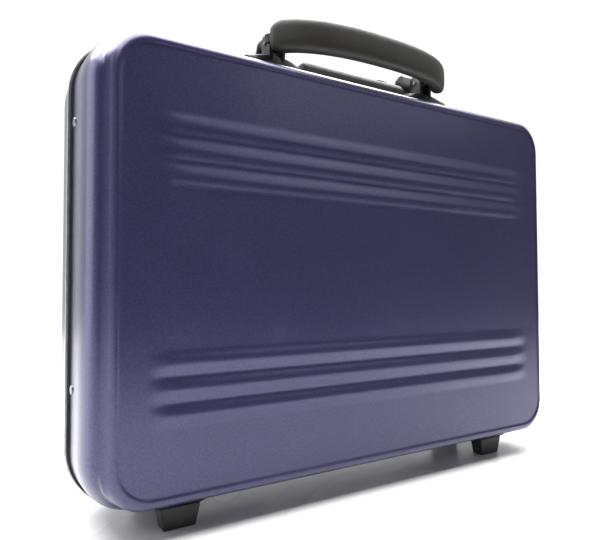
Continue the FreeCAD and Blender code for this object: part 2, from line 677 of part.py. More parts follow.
# ------------------------------------------------------------ latches on the lid
for side, word in ((-1, "left"), (1, "right")):
    low = "%d * latch_at - latch_len / 2" % side
    high = "%d * latch_at + latch_len / 2" % side
    hook_at = "%d * (latch_at - keeper_in)" % side
    keeper = box("keeper_" + word, (hook_at + " - keeper_half", hook_at + " + keeper_half"),
                 ("-keeper_far", "-keeper_near"), ("mid_height + half_high", "deck + keeper_high"))
    node("latch_keeper_" + word, keeper)
    base = [box("latch_plate_" + word, (low + " - latch_ear", high + " + latch_ear"),
                ("latch_base_near", "latch_base_far"),
                ("mid_height + half_high - 3", "deck + latch_plate"))]
    cheeks = ((low + " - gap - latch_ear_thick", low + " - gap"),
              (high + " + gap", high + " + gap + latch_ear_thick"))
    for ear, (start, stop) in enumerate(cheeks):
        base.append(rod("latch_ear_%s_%d" % (word, ear), "latch_ear", start, stop,
                        "latch_pivot_y", "latch_pivot_z"))
        base.append(box("latch_stem_%s_%d" % (word, ear), (start, stop),
                        ("latch_pivot_y - latch_ear", "latch_pivot_y + latch_ear"),
                        ("deck", "latch_pivot_z")))
    pin_bore = rod("latch_bore_" + word, "latch_pin", low + " - latch_ear", high + " + latch_ear",
                   "latch_pivot_y", "latch_pivot_z")
    node("latch_base_" + word, cut("latch_base_cut_" + word, fuse("latch_base_all_" + word, base),
                                   [rear_outside, pin_bore]))
    node("latch_pin_" + word, rod("latch_rod_" + word, "latch_pin", cheeks[0][0], cheeks[1][1],
                                  "latch_pivot_y", "latch_pivot_z"))
    arm = box("lever_arm_" + word, (low, high), ("-lever_front", "latch_pivot_y + lever_tail"),
              ("deck + lever_low", "deck + lever_high"))
    tab = box("lever_tab_" + word, (low, high), ("-lever_front", "-lever_front + lever_thick"),
              ("deck + lever_low", "latch_top"))
    ends = rounded("lever_ends_" + word, tab, SIZES["lever_corner"],
                   lambda e: e.BoundBox.YLength > 3 and e.BoundBox.ZMin > SIZES["latch_top"] - 1)
    lever_bore = rod("lever_bore_" + word, "latch_pin + bore_play", low + " - 1", high + " + 1",
                     "latch_pivot_y", "latch_pivot_z")
    room = ("%d * latch_at - latch_spring_half - gap" % side,
            "%d * latch_at + latch_spring_half + gap" % side)
    spring_room = rod("spring_room_" + word, "latch_spring + 2 * gap", room[0], room[1],
                      "latch_pivot_y", "latch_pivot_z")
    node("latch_lever_" + word, cut("lever_" + word, fuse("lever_all_" + word, [arm, ends]),
                                    [lever_bore, spring_room]))
    coil = rod("coil_" + word, "latch_spring", "%d * latch_at - latch_spring_half" % side,
               "%d * latch_at + latch_spring_half" % side, "latch_pivot_y", "latch_pivot_z")
    coil_bore = rod("coil_bore_" + word, "latch_spring_bore", room[0], room[1],
                    "latch_pivot_y", "latch_pivot_z")
    node("latch_spring_" + word, cut("latch_coil_" + word, coil, [coil_bore]))

# ------------------------------------------------------- inside: papers and pens
inside_face = "half_depth - sheet"
node("file_organiser", box("organiser", ("-organiser_half", "organiser_half"),
                           (inside_face + " - cloth_gap - organiser_thick", inside_face + " - cloth_gap"),
                           ("mid_height - organiser_low", "mid_height + organiser_high")))
loops = []
for k in range(3):
    loop_x = "pen_from + %d * pen_pitch" % k
    outer_loop = post("pen_loop_%d" % k, "pen_radius", loop_x, inside_face + " - pen_set",
                      "mid_height + pen_low", "mid_height + pen_high")
    loop_hole = post("pen_hole_%d" % k, "pen_hole", loop_x, inside_face + " - pen_set",
                     "mid_height + pen_low - 1", "mid_height + pen_high + 1")
    loops.append(cut("pen_ring_%d" % k, outer_loop, [loop_hole]))
node("pen_loops", group("pen_loop_set", loops))
strap_y = ("-(%s - cloth_gap)" % inside_face, "-(%s - cloth_gap - strap_thick)" % inside_face)
node("document_strap", box("strap", ("-strap_half", "strap_half"), strap_y,
                           ("mid_height - strap_reach", "mid_height + strap_reach")))
buckle_plate = box("buckle_plate", ("-buckle_half", "buckle_half"),
                   ("-(%s - buckle_near)" % inside_face, "-(%s - buckle_far)" % inside_face),
                   ("mid_height - buckle_high", "mid_height + buckle_high"))
buckle_hole = box("buckle_hole", ("-buckle_hole_half", "buckle_hole_half"), ("-half_depth", "0"),
                  ("mid_height - buckle_hole_high", "mid_height + buckle_hole_high"))
node("strap_buckle", cut("buckle", buckle_plate, [buckle_hole]))

# ---------------------------------------------------------------- check and write
doc.recompute()
for thing in doc.Objects:
    if "Invalid" in thing.State or "Error" in thing.State:
        raise RuntimeError("%s failed: %s" % (thing.Name, thing.State))
for thing in nodes:
    if thing.Shape.isNull() or not thing.Shape.isValid() or not thing.Shape.Solids:
        raise RuntimeError("%s has no valid solid" % thing.Label)
os.makedirs("parts", exist_ok=True)
for thing in nodes:
    thing.Shape.exportStep("parts/%s.step" % thing.Label)
    print("%-26s solids %2d  volume %10.1f" % (thing.Label, len(thing.Shape.Solids), thing.Shape.Volume))
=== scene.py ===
import json
import math

import bmesh
import bpy
from mathutils import Matrix, Vector


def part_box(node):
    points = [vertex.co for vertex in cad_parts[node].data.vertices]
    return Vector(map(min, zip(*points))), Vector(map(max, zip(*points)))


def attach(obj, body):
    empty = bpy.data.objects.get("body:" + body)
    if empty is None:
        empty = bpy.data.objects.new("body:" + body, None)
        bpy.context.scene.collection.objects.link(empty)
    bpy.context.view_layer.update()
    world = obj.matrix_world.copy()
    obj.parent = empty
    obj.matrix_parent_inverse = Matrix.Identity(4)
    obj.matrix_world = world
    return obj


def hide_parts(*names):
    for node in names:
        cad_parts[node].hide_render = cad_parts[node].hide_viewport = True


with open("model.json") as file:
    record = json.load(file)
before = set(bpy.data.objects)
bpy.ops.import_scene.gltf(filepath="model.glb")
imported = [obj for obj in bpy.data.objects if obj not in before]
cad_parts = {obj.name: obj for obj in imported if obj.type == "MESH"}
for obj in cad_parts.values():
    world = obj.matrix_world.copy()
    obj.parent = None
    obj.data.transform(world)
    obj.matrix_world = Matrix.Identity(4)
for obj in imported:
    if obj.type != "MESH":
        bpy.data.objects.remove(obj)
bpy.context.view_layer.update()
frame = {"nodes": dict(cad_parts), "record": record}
MM = 0.001
scene = bpy.context.scene


def box_mm(node):
    """Low and high corner of a CAD node, in millimetres."""
    return [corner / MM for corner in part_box(node)]


RIM_X, RIM_Z, RIM_CORNER = 205.0, 147.5, 38.0   # half sizes and corner radius of the shells' open edge
SEAM = (box_mm("front_shell")[1].y + box_mm("rear_shell")[0].y) / 2     # parting plane
TOP = box_mm("front_shell")[1].z                # top of the shells
MID = TOP - RIM_Z                               # middle of their height
PINS = {joint["name"]: Vector(joint["pos_m"]) / MM
        for joint in frame["record"]["behaviour"]["joints"] if "pos_m" in joint}


# ------------------------------------------------------------------ materials
class Shader:
    """A node material on one Principled shader, with short ways to add detail."""

    def __init__(self, name, colour, roughness, metallic=0.0, **sockets):
        self.material = bpy.data.materials.new(name)
        self.material.use_nodes = True
        self.tree = self.material.node_tree
        self.shader = self.tree.nodes["Principled BSDF"]
        self.set(self.shader, "Base Color", (*colour, 1))
        self.set(self.shader, "Roughness", roughness)
        self.set(self.shader, "Metallic", metallic)
        for socket, value in sockets.items():
            self.set(self.shader, socket.replace("_", " "), value)
        self.place = self.tree.nodes.new("ShaderNodeTexCoord").outputs["Object"]
        self.bump_out = None

    def set(self, node, socket, value):
        node.inputs[socket].default_value = value

    def link(self, a, b):
        self.tree.links.new(a, b)

    def texture(self, kind, **sockets):
        node = self.tree.nodes.new(kind)
        for socket, value in sockets.items():
            self.set(node, socket, value)
        self.link(self.place, node.inputs["Vector"])
        return node

    def noise(self, scale, detail=3.0, rough=0.55):
        return self.texture("ShaderNodeTexNoise", Scale=scale, Detail=detail, Roughness=rough).outputs["Fac"]

    def cells(self, scale):
        return self.texture("ShaderNodeTexVoronoi", Scale=scale).outputs["Distance"]

    def waves(self, scale, direction, distort=0.0):
        node = self.texture("ShaderNodeTexWave", Scale=scale, Distortion=distort)
        node.bands_direction = direction
        return node.outputs["Fac"]

    def times(self, a, b):
        node = self.tree.nodes.new("ShaderNodeMath")
        node.operation = "MULTIPLY"
        self.link(a, node.inputs[0])
        self.link(b, node.inputs[1])
        return node.outputs[0]

    def ramp(self, fac, stops):
        node = self.tree.nodes.new("ShaderNodeValToRGB")
        for k, (where, colour) in enumerate(stops):
            stop = node.color_ramp.elements[k]
            stop.position = where
            stop.color = (*colour, 1) if hasattr(colour, "__len__") else (colour, colour, colour, 1)
        self.link(fac, node.inputs["Fac"])
        return node.outputs["Color"]

    def colour(self, fac, stops):
        self.link(self.ramp(fac, stops), self.shader.inputs["Base Color"])
        return self

    def rough(self, fac, low, high):
        self.link(self.ramp(fac, ((0.25, low), (0.75, high))), self.shader.inputs["Roughness"])
        return self

    def bump(self, height, strength, distance=0.0005):
        node = self.tree.nodes.new("ShaderNodeBump")
        self.set(node, "Strength", strength)
        self.set(node, "Distance", distance)
        self.link(height, node.inputs["Height"])
        if self.bump_out:
            self.link(self.bump_out, node.inputs["Normal"])
        self.bump_out = node.outputs["Normal"]
        self.link(self.bump_out, self.shader.inputs["Normal"])
        return self


paint = Shader("blue_paint", (0.03, 0.028, 0.09), 0.34, 0.55, Coat_Weight=0.5, Coat_Roughness=0.2)
paint.colour(paint.noise(900, 4, 0.7), ((0.36, (0.024, 0.021, 0.066)), (0.64, (0.042, 0.038, 0.112))))
paint.rough(paint.noise(35, 3), 0.31, 0.40)
paint.bump(paint.noise(1500, 3, 0.6), 0.10, 0.0002).bump(paint.noise(14, 2), 0.03, 0.002)

bare = Shader("bare_aluminium", (0.62, 0.65, 0.62), 0.34, 1.0)
bare.colour(bare.noise(120, 3), ((0.3, (0.52, 0.56, 0.54)), (0.7, (0.68, 0.70, 0.67))))
bare.rough(bare.noise(300, 3), 0.28, 0.42).bump(bare.noise(900, 3), 0.05, 0.0002)

gasket = Shader("gasket_rubber", (0.012, 0.012, 0.012), 0.6)
gasket.colour(gasket.noise(200), ((0.3, 0.008), (0.7, 0.018))).bump(gasket.noise(1200), 0.15, 0.0002)

foot_rubber = Shader("foot_rubber", (0.02, 0.02, 0.018), 0.55)
foot_rubber.colour(foot_rubber.noise(90), ((0.3, (0.014, 0.014, 0.013)), (0.7, (0.027, 0.026, 0.023))))
foot_rubber.rough(foot_rubber.noise(200), 0.48, 0.66).bump(foot_rubber.noise(1400, 4), 0.22, 0.0003)

steel = Shader("steel", (0.2, 0.2, 0.2), 0.3, 1.0)
steel.colour(steel.noise(250), ((0.3, 0.15), (0.7, 0.24)))
steel.rough(steel.noise(500), 0.22, 0.4).bump(steel.noise(1500), 0.06, 0.0002)

dark_steel = Shader("dark_steel", (0.03, 0.03, 0.03), 0.42, 0.8)
dark_steel.colour(dark_steel.noise(250), ((0.3, 0.022), (0.7, 0.04)))
dark_steel.rough(dark_steel.noise(400), 0.34, 0.5).bump(dark_steel.noise(1500), 0.06, 0.0002)

hinge_metal = Shader("hinge_metal", (0.16, 0.16, 0.17), 0.4, 1.0)
hinge_metal.colour(hinge_metal.noise(200), ((0.3, 0.12), (0.7, 0.21)))
hinge_metal.rough(hinge_metal.noise(300), 0.32, 0.5).bump(hinge_metal.noise(1200), 0.1, 0.0002)

black_metal = Shader("black_metal", (0.01, 0.01, 0.01), 0.42, Specular_IOR_Level=0.35)
black_metal.colour(black_metal.noise(150), ((0.3, 0.007), (0.7, 0.014)))
black_metal.rough(black_metal.noise(250), 0.36, 0.5).bump(black_metal.noise(1600), 0.08, 0.0002)

grip_rubber = Shader("grip_rubber", (0.014, 0.013, 0.012), 0.52, Specular_IOR_Level=0.35)
grip_rubber.colour(grip_rubber.noise(60, 3), ((0.3, (0.011, 0.0105, 0.0095)), (0.7, (0.018, 0.017, 0.015))))
grip_rubber.rough(grip_rubber.noise(120), 0.46, 0.6).bump(grip_rubber.noise(1800, 4, 0.65), 0.16, 0.0003)

dial_metal = Shader("dial_metal", (0.62, 0.62, 0.62), 0.25, 1.0)
dial_metal.colour(dial_metal.noise(300), ((0.3, 0.52), (0.7, 0.7))).bump(dial_metal.noise(1500), 0.05, 0.0002)
dial_metal.rough(dial_metal.noise(400), 0.2, 0.34)

ink = Shader("dial_ink", (0.01, 0.01, 0.01), 0.5)
ink.colour(ink.noise(800), ((0.3, 0.006), (0.7, 0.016))).bump(ink.noise(1500), 0.05, 0.0001)

latch_metal = Shader("latch_metal", (0.2, 0.2, 0.2), 0.38, 0.9)
latch_metal.colour(latch_metal.noise(70), ((0.3, 0.17), (0.7, 0.24)))
latch_metal.rough(latch_metal.noise(260), 0.3, 0.44).bump(latch_metal.noise(1400, 4), 0.1, 0.0002)

lining_cloth = Shader("lining_cloth", (0.09, 0.09, 0.11), 0.9, Sheen_Weight=0.35)
weave = lining_cloth.times(lining_cloth.waves(380, "X"), lining_cloth.waves(380, "Z"))
lining_cloth.colour(lining_cloth.noise(900, 3), ((0.3, (0.034, 0.034, 0.042)), (0.7, (0.062, 0.062, 0.074))))
lining_cloth.rough(lining_cloth.noise(120), 0.82, 0.95).bump(weave, 0.35, 0.0004)

leather = Shader("organiser_leather", (0.03, 0.03, 0.033), 0.55)
leather.colour(leather.noise(50, 4), ((0.3, (0.022, 0.022, 0.025)), (0.7, (0.042, 0.041, 0.044))))
leather.rough(leather.noise(160), 0.45, 0.65).bump(leather.cells(620), 0.4, 0.0004)

webbing = Shader("strap_webbing", (0.02, 0.02, 0.024), 0.85, Sheen_Weight=0.3)
ribs_of_web = webbing.times(webbing.waves(220, "X"), webbing.waves(300, "Z"))
webbing.colour(webbing.noise(300), ((0.3, (0.014, 0.014, 0.018)), (0.7, (0.032, 0.032, 0.038))))
webbing.rough(webbing.noise(200), 0.75, 0.92).bump(ribs_of_web, 0.6, 0.0005)

buckle_plastic = Shader("buckle_plastic", (0.02, 0.02, 0.02), 0.28)
buckle_plastic.colour(buckle_plastic.noise(90), ((0.3, 0.014), (0.7, 0.026)))
buckle_plastic.rough(buckle_plastic.noise(120), 0.22, 0.36).bump(buckle_plastic.noise(1200), 0.05, 0.0002)

thread = Shader("thread", (0.16, 0.16, 0.18), 0.8, Sheen_Weight=0.3)
thread.colour(thread.noise(900), ((0.3, 0.12), (0.7, 0.2))).bump(thread.waves(900, "Z", 1.0), 0.4, 0.0002)

SLOT_SHADERS = {
    "blue_paint": paint, "bare_aluminium": bare, "gasket_rubber": gasket, "lining_cloth": lining_cloth,
    "foot_rubber": foot_rubber, "steel": steel, "hinge_metal": hinge_metal, "black_metal": black_metal,
    "grip_rubber": grip_rubber, "dial_metal": dial_metal, "latch_metal": latch_metal,
    "organiser_cloth": leather, "strap_webbing": webbing, "buckle_plastic": buckle_plastic,
}
for part in frame["record"]["subparts"]:
    node = frame["nodes"][part["node"]]
    node.data.materials.clear()
    shader = dark_steel if part["node"] == "handle_core" else SLOT_SHADERS[part["material_slot"]]
    node.data.materials.append(shader.material)


# ---------------------------------------------------------------- mesh helpers
def piece(name, points, faces, shader, body, nodes=(), angle=None):
    """Smooth mesh in millimetres of the row frame, riding on a body; sharper edges than angle stay sharp."""
    mesh = bpy.data.meshes.new(name)
    mesh.from_pydata([Vector(p) * MM for p in points], [], faces)
    mesh.validate()
    tool = bmesh.new()
    tool.from_mesh(mesh)
    bmesh.ops.recalc_face_normals(tool, faces=tool.faces)
    tool.to_mesh(mesh)
    tool.free()
    for face in mesh.polygons:
        face.use_smooth = True
    if angle is not None:
        mesh.set_sharp_from_angle(angle=math.radians(angle))
    mesh.materials.append(shader.material)
    thing = bpy.data.objects.new(name, mesh)
    scene.collection.objects.link(thing)
    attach(thing, body)
    if nodes:
        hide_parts(*nodes)
    return thing


def dress(thing, *modifiers):
    """Adds modifiers and applies them to the mesh."""
    for number, (kind, settings) in enumerate(modifiers):
        modifier = thing.modifiers.new("%s_%d" % (kind, number), kind)
        for key, value in settings.items():
            setattr(modifier, key, value)
    bpy.context.view_layer.update()
    graph = bpy.context.evaluated_depsgraph_get()
    mesh = bpy.data.meshes.new_from_object(thing.evaluated_get(graph))
    thing.modifiers.clear()
    old = thing.data
    thing.data = mesh
    bpy.data.meshes.remove(old)
    for face in thing.data.polygons:
        face.use_smooth = True
    return thing


def flat(rows):
    return [p for row in rows for p in row]


def bands(rows, closed=True, start=0):
    """Quads between rows of equal length; a closed row joins end to end."""
    count = len(rows[0])
    faces = []
    for k in range(len(rows) - 1):
        for i in range(count if closed else count - 1):
            j = (i + 1) % count
            a, b = start + k * count, start + (k + 1) * count
            faces.append((a + i, a + j, b + j, b + i))
    return faces


def loft(rows, start=0):
    """Closed solid through rows of equal length."""
    count = len(rows[0])
    last = start + (len(rows) - 1) * count
    faces = bands(rows, start=start)
    faces.append(tuple(range(start, start + count)))
    faces.append(tuple(range(last, last + count)))
    return faces


def joined(first, second, count):
    """Quads between two rows of points that start at the given places."""
    return [(first + i, first + (i + 1) % count, second + (i + 1) % count, second + i) for i in range(count)]


def mix(low, high, t):
    return (1 - t) * low + t * high


def smoothstep(low, high, value):
    t = min(max((value - low) / (high - low), 0.0), 1.0)
    return t * t * (3 - 2 * t)


def quarter(inset, depth, width, height, last=90, step=9):
    """Arc of an ellipse in (inset, depth), leaving the wall straight and turning inwards."""
    arc = []
    for degrees in range(0, last + 1, step):
        a = math.radians(degrees)
        arc.append((inset + width * (1 - math.cos(a)), depth + height * math.sin(a)))
    return arc


def rounded(value, power):
    """A sine or cosine drawn out towards 1, for sections squarer than an ellipse."""
    return math.copysign(abs(value) ** power, value)


# --------------------------------------------------------------- pressed shells
STEP, STEP_Z = 9.0, 7.7         # inset of the inner step along X and along Z
ARC = 9                         # segments in half a corner
RIB_FIRST, RIB_PITCH = 55.5, 15.4
RIB_HEIGHTS = [side * (RIB_FIRST + RIB_PITCH * k) for side in (1, -1) for k in range(3)]
RIB_HALF_WIDTH, RIB_RISE, RIB_END, RIB_FADE = 6.8, 1.45, 174.0, 24.0
RIB_POWER = 1.35                # higher makes a rib's flanks hollower
FOOT_X, FOOT_Y, FOOT_TOP = 145.0, 24.4, 14.0
FOOT_HALF_X, FOOT_HALF_Y = 13.5, 6.6
SEAT_SLOPE, SEAT_CURVE = 0.42, 0.045        # how the shell rises round a foot's seat
SEAT_ACROSS, SEAT_GAP = 1.6, 0.02           # how much faster it rises along Y, and the gap over the foot
SEAT_SOFT = 1.2                             # height over which the seat blends into the shell
SEAT_BELOW = -110.0                         # only the bottom of the shell is pulled down


def finer(half, where, width, extra):
    """Weight for spread: finer at a distance from the middle of a side of the given half length."""
    return lambda v: 1.0 + extra * math.exp(-((abs(v) * half - where) / width) ** 2)


def spread(count, weight):
    """count + 1 values from -1 to 1, closer together where weight is high."""
    fine = 2000
    total = [0.0]
    for k in range(fine):
        total.append(total[-1] + weight(-1 + 2 * (k + 0.5) / fine))
    values, k = [], 0
    for i in range(count + 1):
        goal = min(total[-1] * i / count, total[-1])
        while total[k + 1] < goal:
            k += 1
        part = (goal - total[k]) / (total[k + 1] - total[k])
        values.append(-1 + 2 * (k + part) / fine)
    return values


ALONG_X = spread(104, finer(170, 145, 26, 1.6))
ALONG_Z = spread(116, finer(111, 71, 24, 2.2))
ACROSS, UP = [len(values) + 2 * ARC - 1 for values in (ALONG_X, ALONG_Z)]     # steps along each side
TURNS = [(1, 0, 0, 1), (0, -1, 1, 0), (-1, 0, 0, -1), (0, 1, -1, 0)]          # bottom, right, top, left


def outline(half_x, half_z, corner):
    """Rounded rectangle as one row of points, from the lower left corner round by the bottom."""
    row = []
    for side, turn in enumerate(TURNS):
        long, wide = (half_x, half_z) if side % 2 == 0 else (half_z, half_x)
        straight, inner = long - corner, wide - corner
        run = []
        for k in range(ARC):
            t = math.radians(45 * (1 - k / ARC))
            run.append((-straight - corner * math.sin(t), -inner - corner * math.cos(t)))
        run += [(v * straight, -wide) for v in (ALONG_X, ALONG_Z)[side % 2]]
        for k in range(1, ARC):
            t = math.radians(45 * k / ARC)
            run.append((straight + corner * math.sin(t), -inner - corner * math.cos(t)))
        row += [(turn[0] * x + turn[1] * z, turn[2] * x + turn[3] * z) for x, z in run]
    return row


CORNERS = [(0.0, RIM_CORNER), (7.5, 30.0), (8.6, 25.0), (9.0, 24.0), (15.5, 22.0), (18.0, 20.5)]


def corner_at(inset):
    """Corner radius of a row: the step is squarer at its corners than the rim."""
    for (low, a), (high, b) in zip(CORNERS, CORNERS[1:]):
        if inset <= high:
            return a + (b - a) * (inset - low) / (high - low)
    return CORNERS[-1][1]


def ring(inset, depth):
    """One row of the shell: inset from the rim's outline, depth from the parting plane."""
    part = min(inset, STEP) / STEP
    more = max(inset - STEP, 0.0)
    row = outline(RIM_X - inset, RIM_Z - STEP_Z * part - more, corner_at(inset))
    return [(x, depth, z) for x, z in row]


def seated(point):
    """Pulls the bottom of the shell down to the seats of the feet."""
    x, depth, z = point
    if z > SEAT_BELOW:
        return point
    beside_x = max(abs(abs(x) - FOOT_X) - FOOT_HALF_X, 0.0)
    beside_y = max(abs(depth - FOOT_Y) - FOOT_HALF_Y, 0.0)
    reach = math.hypot(beside_x, beside_y * SEAT_ACROSS)
    seat = FOOT_TOP - MID + SEAT_GAP + SEAT_SLOPE * reach + SEAT_CURVE * reach * reach
    blend = max(SEAT_SOFT - abs(z - seat), 0.0) / SEAT_SOFT
    return (x, depth, min(z, seat) - blend * blend * SEAT_SOFT / 4)


def rib_rise(x, z):
    for middle in RIB_HEIGHTS:
        u = abs(z - middle) / RIB_HALF_WIDTH
        if u < 1:
            fade = smoothstep(RIB_END, RIB_END - RIB_FADE, abs(x))
            return RIB_RISE * fade * (1 - u * u) ** RIB_POWER
    return 0.0


# Sections of a shell as (inset, depth): over the top and bottom, over the upright sides, and its inner skin.
FACE_DEPTH = 49.0
FACE_EDGE = [(15.8, 49.66), (16.3, 49.45), (16.8, 49.15), (17.4, FACE_DEPTH)]
LEDGE = [(8.0, 27.3), (8.2, 28.2), (8.4, 29.6), (8.6, 32.5), (8.8, 36.0)]
PROFILE = ([(0.0, 2.0), (0.0, 4.0), (0.0, 8.0)] + quarter(0.0, 12.0, 18.0, 18.0, last=54, step=6) + LEDGE
           + quarter(9.0, 39.7, 6.4, 10.0) + FACE_EDGE)
SIDE_LEDGE = [(7.7, 42.95), (8.4, 43.45), (9.1, 44.0), (9.9, 44.7), (10.7, 45.5)]
SIDE_BEAD = [(11.4 + 0.4 * k, 46.2 + 3.5 * (1 - (1 - k / 10) ** 1.5)) for k in range(11)]
SIDE_PROFILE = ([(0.0, 2.0), (0.0, 6.0), (0.0, 14.0)] + quarter(0.0, 24.0, 10.0, 19.5, last=72, step=8)
                + SIDE_LEDGE + SIDE_BEAD + FACE_EDGE)
INSIDE = [(17.3, 47.5), (14.6, 47.1), (12.0, 44.0), (10.5, 40.0), (10.4, 30.0), (9.4, 26.5), (4.0, 20.5),
          (1.5, 11.0), (1.5, 2.0)]


def sideness(x, z):
    """1 on the upright sides, 0 along the top and bottom, soft round the corners."""
    over_x = abs(x) - (RIM_X - RIM_CORNER)
    over_z = abs(z) - (RIM_Z - RIM_CORNER)
    if over_x <= 0:
        return 0.0
    return 1 - smoothstep(0.0, math.pi / 2, math.atan2(max(over_z, 0.0), over_x))


def rows_of(profile, side_profile):
    rows = []
    weights = [sideness(x, z) for x, _, z in ring(0.0, 0.0)]
    for place, side_place in zip(profile, side_profile):
        pairs = zip(ring(*place), ring(*side_place), weights)
        rows.append([seated(tuple(a + (b - a) * w for a, b in zip(p, q))) for p, q, w in pairs])
    return rows


def edge_place(i, j):
    """Where a grid point of the face lies on the row round it, or None if it is inside."""
    if j == 0:
        return i
    if i == ACROSS:
        return ACROSS + j
    if j == UP:
        return 2 * ACROSS + UP - i
    if i == 0:
        return 2 * (ACROSS + UP) - j
    return None


def face_point(edge, i, j):
    """Point of the sheet that joins the four sides of the face, raised at the ribs."""
    u, v = i / ACROSS, j / UP

    def on(axis):
        def at(i, j):
            return edge[edge_place(i, j)][axis]
        sideways = mix(at(0, j), at(ACROSS, j), u)
        upwards = mix(at(i, 0), at(i, UP), v)
        corners = mix(mix(at(0, 0), at(ACROSS, 0), u), mix(at(0, UP), at(ACROSS, UP), u), v)
        return sideways + upwards - corners

    x, z = on(0), on(2)
    return (x, FACE_DEPTH + rib_rise(x, z), z)


def shell(name, half, body, node):
    """Pressed half: rows round the edge, a ribbed face inside the last row, and an inner skin."""
    rows = rows_of(PROFILE, SIDE_PROFILE)
    edge = rows[-1]
    count = len(edge)
    points = flat(rows)
    faces = bands(rows)
    last = len(points) - count
    index = {}
    for i in range(ACROSS + 1):
        for j in range(UP + 1):
            place = edge_place(i, j)
            if place is not None:
                index[i, j] = last + place
            else:
                index[i, j] = len(points)
                points.append(face_point(edge, i, j))
    for i in range(ACROSS):
        for j in range(UP):
            faces.append((index[i, j], index[i + 1, j], index[i + 1, j + 1], index[i, j + 1]))
    start = len(points)
    inner = rows_of(INSIDE, INSIDE)
    points += flat(inner)
    faces += bands(inner, start=start)
    faces.append(tuple(range(start, start + count)))
    faces += joined(len(points) - count, 0, count)
    placed = [(x, SEAM + half * depth, z + MID) for x, depth, z in points]
    return piece(name, placed, faces, paint, body, (node,))


shell("front_shell_pressing", -1, "base", "front_shell")
shell("rear_shell_pressing", 1, "lid", "rear_shell")


# ----------------------------------------------------------------- the hand grip
PIVOT = PINS["handle_swing"]
GRIP_X, GRIP_Y, GRIP_POWER = 82.0, 35.4, 2 / 2.35      # half length, reach and squareness of the bow
GRIP_DEEP, GRIP_TALL, GRIP_DROP = 6.0, 11.2, 1.0       # half sizes of the section, and how far it hangs
GRIP_FROM, GRIP_TO = math.radians(15.5), math.radians(164.5)
GRIP_LENGTH, GRIP_STEPS = 190.0, 120
END_TALL, END_TALL_OVER = 0.32, 14.0                    # how much lower each end gets, and over what length
END_DEEP, END_DEEP_OVER = 0.3, 6.0                      # and how much thinner
CAP_SIZE, CAP_PUSH = 0.86, 0.5


def grip_middle(t):
    c, s = math.cos(t), math.sin(t)
    return Vector((rounded(c, GRIP_POWER) * GRIP_X, -(abs(s) ** GRIP_POWER) * GRIP_Y, 0))


def grip_row(t, deep, tall):
    """Section across the grip at angle t: flat broad outer face, rounded edges, narrower inside."""
    ahead = (grip_middle(t + 0.01) - grip_middle(t - 0.01)).normalized()
    out = Vector((ahead.y, -ahead.x, 0))
    if out.dot(grip_middle(t)) < 0:
        out = -out
    row = []
    for k in range(36):
        a = 2 * math.pi * k / 36
        c, s = math.cos(a), math.sin(a)
        r = rounded(c, 2 / 3.0) * GRIP_DEEP * deep
        h = rounded(s, 2 / 3.4) * GRIP_TALL * tall - GRIP_DROP
        h *= 1 - 0.10 * max(-c, 0)
        row.append(PIVOT + grip_middle(t) + out * r + Vector((0, 0, h)))
    return row


def grip_cap(end, before):
    """Slightly smaller row past an end of the grip, which rounds it off."""
    middle = sum(end, Vector()) / len(end)
    push = (end[0] - before[0]).normalized() * CAP_PUSH
    return [middle + (p - middle) * CAP_SIZE + push for p in end]


def grip():
    """Bow of sections, closer together and smaller towards its ends."""
    rows = []
    for k in range(GRIP_STEPS + 1):
        v = 0.5 - 0.5 * math.cos(math.pi * k / GRIP_STEPS)
        from_end = min(v, 1 - v) * GRIP_LENGTH
        tall = 1 - END_TALL * (1 - min(from_end / END_TALL_OVER, 1.0)) ** 2
        deep = 1 - END_DEEP * (1 - min(from_end / END_DEEP_OVER, 1.0)) ** 2
        rows.append(grip_row(mix(GRIP_FROM, GRIP_TO, v), deep, tall))
    rows = [grip_cap(rows[0], rows[1])] + rows + [grip_cap(rows[-1], rows[-2])]
    return piece("hand_grip", flat(rows), loft(rows), grip_rubber, "handle", ("handle_grip",))


grip()


# ------------------------------------------------- brackets and lock housing on top
# Sections as (distance in front of the parting plane, height above the shells' top).
SADDLE_FRONT = [(26.2, -6.9), (26.4, -3.0), (26.4, 1.0)]
SADDLE_BACK = [(14.6, 1.5), (14.7, -1.5), (20.5, -3.1)]
BAR_TOP = 3.5
BAR_RISES = ((55.2, 0.0), (55.6, 0.75), (58, 1.6), (63, 3.0), (66, 3.6), (80, 3.6), (83, 3.0), (88, 1.9),
             (93, 0.9), (95.6, 0.3), (96.0, 0.0))
CHEEK_INNER = (66.5, 76.5)
CHEEK_WIDTHS = ((0.0, 0.92), (0.3, 0.98), (0.6, 1.0), (2.4, 1.0), (2.7, 0.98), (3.0, 0.92))
CHEEK_LOW, CHEEK_WAIST, CHEEK_BACK = -13.0, -6.0, 5.4
CHEEK_RADIUS, CHEEK_HEAD, CHEEK_POWER = 6.4, 6.5, 0.62


def cheek_outline():
    """Side view of a cheek about the pin: upright foot and a squarish round head."""
    row = [(-CHEEK_RADIUS, CHEEK_LOW), (-CHEEK_RADIUS, CHEEK_WAIST)]
    for k in range(17):
        t = math.pi * (1 - k / 16)
        row.append((CHEEK_RADIUS * rounded(math.cos(t), CHEEK_POWER),
                    CHEEK_HEAD * math.sin(t) ** CHEEK_POWER))
    return row + [(CHEEK_BACK, CHEEK_WAIST), (CHEEK_BACK, CHEEK_LOW)]


